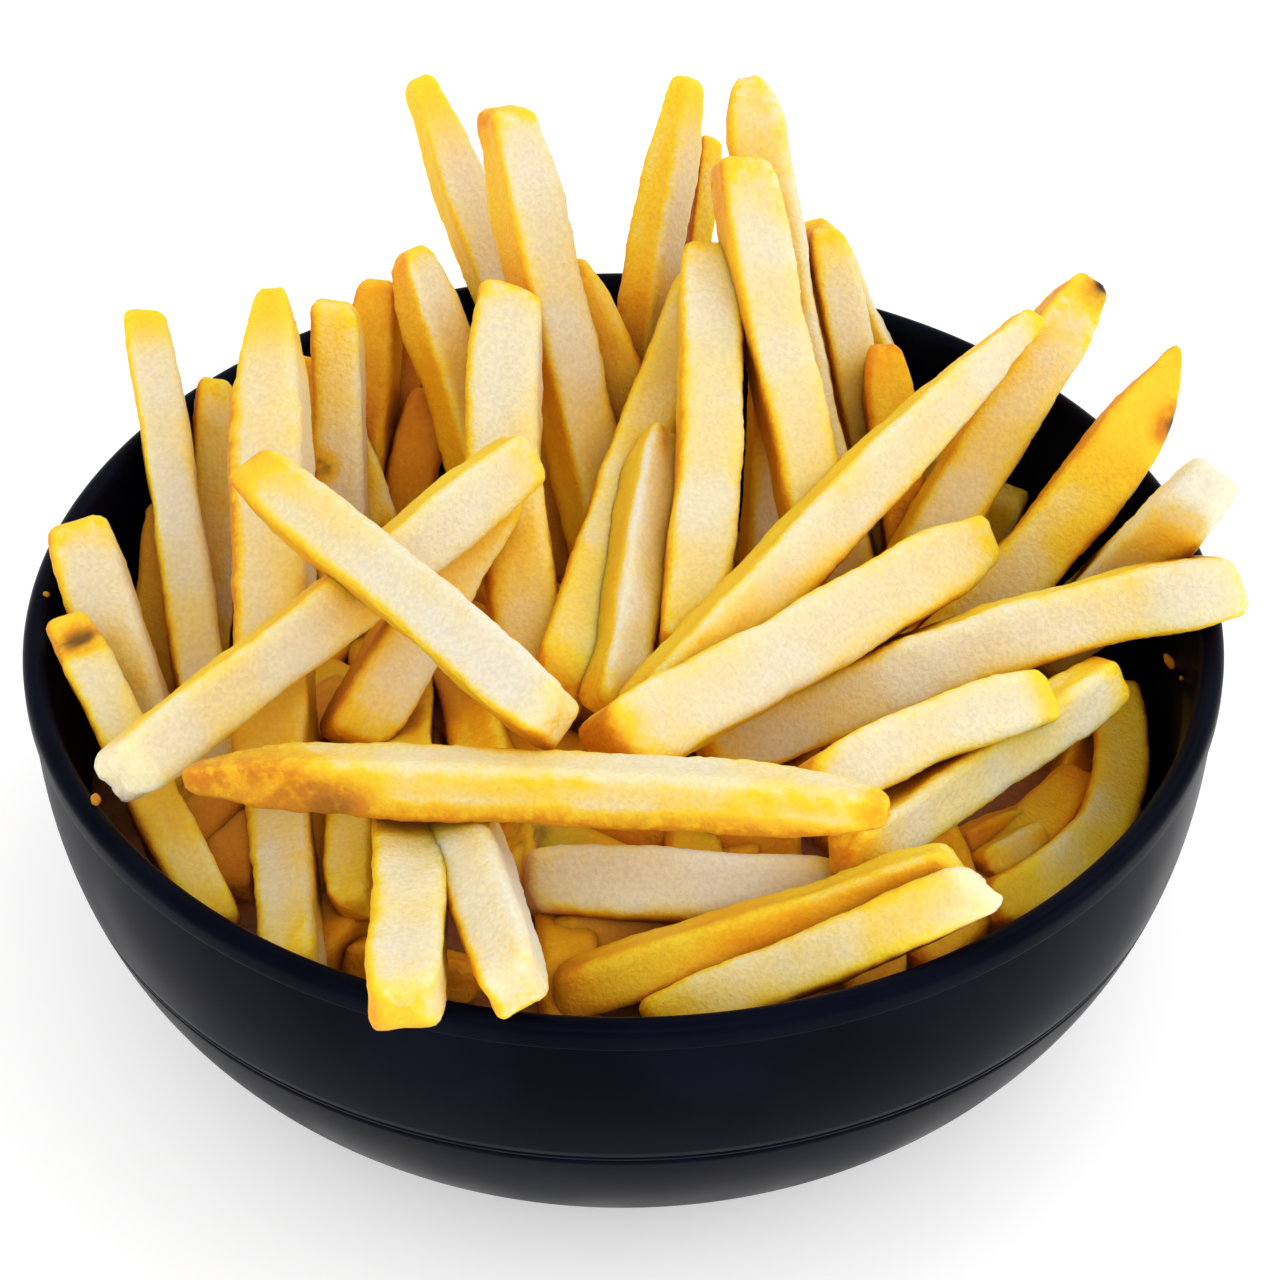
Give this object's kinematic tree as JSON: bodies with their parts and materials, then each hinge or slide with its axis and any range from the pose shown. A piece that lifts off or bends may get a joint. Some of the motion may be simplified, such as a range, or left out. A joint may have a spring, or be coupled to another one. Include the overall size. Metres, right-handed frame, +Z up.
{
  "type": "bowl of french fries",
  "caption": "Round dark bowl heaped with long french fries, some standing up at the back and some lying across the front rim.",
  "frame": {"origin": "middle of the bowl's flat base, where it stands", "axes": "+Z up along the bowl's axis, +Y to the back, where the tallest fries stand, and +X to the right"},
  "size_m": [0.1627, 0.1768, 0.0958],
  "materials": {
    "bowl_glaze": "satin",
    "fried_potato": "matte"
  },
  "bodies": {
    "root": {"bowl": "bowl_glaze", "fries": "fried_potato"}
  },
  "joints": []
}
